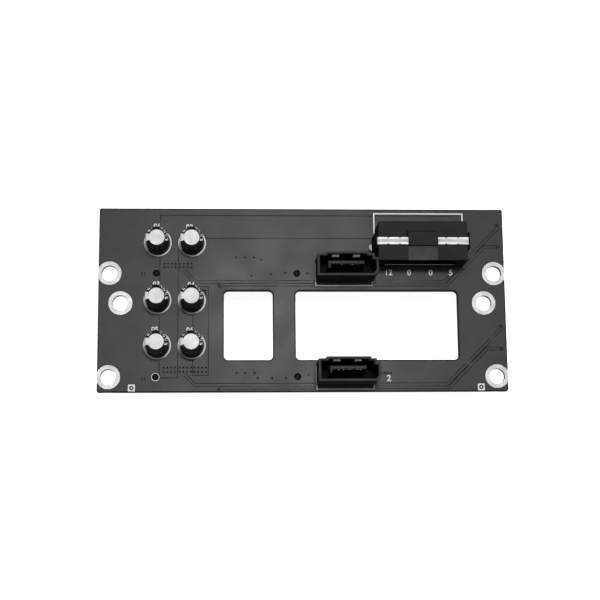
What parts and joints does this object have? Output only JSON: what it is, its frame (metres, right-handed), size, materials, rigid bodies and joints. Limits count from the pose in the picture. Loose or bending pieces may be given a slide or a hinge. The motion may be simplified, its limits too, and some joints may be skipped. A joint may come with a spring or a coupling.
{
  "type": "drive backplane board",
  "caption": "Narrow black circuit board with two cut-out windows, drive receptacles on its back, and upright data headers, a power header and capacitors on its front.",
  "frame": {"origin": "centre of the rectangle of the corner screw holes, on the board's back face", "axes": "+X along the board's long side towards the power header, +Y across the board towards the power header's edge, +Z out of the component side; the drive receptacles point along -Z"},
  "size_m": [0.118, 0.0538, 0.021],
  "materials": {
    "circuit_board": "satin black solder mask over glass-epoxy laminate, with white ink",
    "tinned_copper": "satin tin plating on copper",
    "can_aluminium": "bright drawn aluminium",
    "shrink_sleeve": "glossy black shrink sleeve with a pale polarity stripe",
    "rubber_seal": "matt black rubber",
    "tinned_wire": "tinned wire",
    "solder": "bright smooth solder",
    "pin_plating": "tin-plated brass",
    "strap_steel": "bright tin-plated spring steel",
    "tinned_plate": "tin-plated sheet",
    "contact_gold": "gold flash on copper alloy",
    "power_housing_plastic": "black moulded plastic with a fine spark-eroded texture",
    "header_plastic": "satin black moulded plastic",
    "receptacle_plastic": "satin black moulded plastic"
  },
  "bodies": {
    "root": {"board": "circuit_board", "capacitor_1_bung": "rubber_seal", "capacitor_1_can": "can_aluminium", "capacitor_1_leads": "tinned_wire", "capacitor_1_sleeve": "shrink_sleeve", "capacitor_2_bung": "rubber_seal", "capacitor_2_can": "can_aluminium", "capacitor_2_leads": "tinned_wire", "capacitor_2_sleeve": "shrink_sleeve", "capacitor_3_bung": "rubber_seal", "capacitor_3_can": "can_aluminium", "capacitor_3_leads": "tinned_wire", "capacitor_3_sleeve": "shrink_sleeve", "capacitor_4_bung": "rubber_seal", "capacitor_4_can": "can_aluminium", "capacitor_4_leads": "tinned_wire", "capacitor_4_sleeve": "shrink_sleeve", "capacitor_5_bung": "rubber_seal", "capacitor_5_can": "can_aluminium", "capacitor_5_leads": "tinned_wire", "capacitor_5_sleeve": "shrink_sleeve", "capacitor_6_bung": "rubber_seal", "capacitor_6_can": "can_aluminium", "capacitor_6_leads": "tinned_wire", "capacitor_6_sleeve": "shrink_sleeve", "capacitor_solder_joints": "solder", "data_header_1_board_locks": "tinned_plate", "data_header_1_contacts": "contact_gold", "data_header_1_housing": "header_plastic", "data_header_2_board_locks": "tinned_plate", "data_header_2_contacts": "contact_gold", "data_header_2_housing": "header_plastic", "drive_receptacle_1_anchors": "tinned_plate", "drive_receptacle_1_housing": "receptacle_plastic", "drive_receptacle_1_power_contacts": "contact_gold", "drive_receptacle_1_signal_contacts": "contact_gold", "drive_receptacle_2_anchors": "tinned_plate", "drive_receptacle_2_housing": "receptacle_plastic", "drive_receptacle_2_power_contacts": "contact_gold", "drive_receptacle_2_signal_contacts": "contact_gold", "header_solder_joints": "solder", "mounting_rings": "tinned_copper", "power_header_housing": "power_housing_plastic", "power_header_pins": "pin_plating", "power_header_strap": "strap_steel", "power_solder_joints": "solder"}
  },
  "joints": []
}
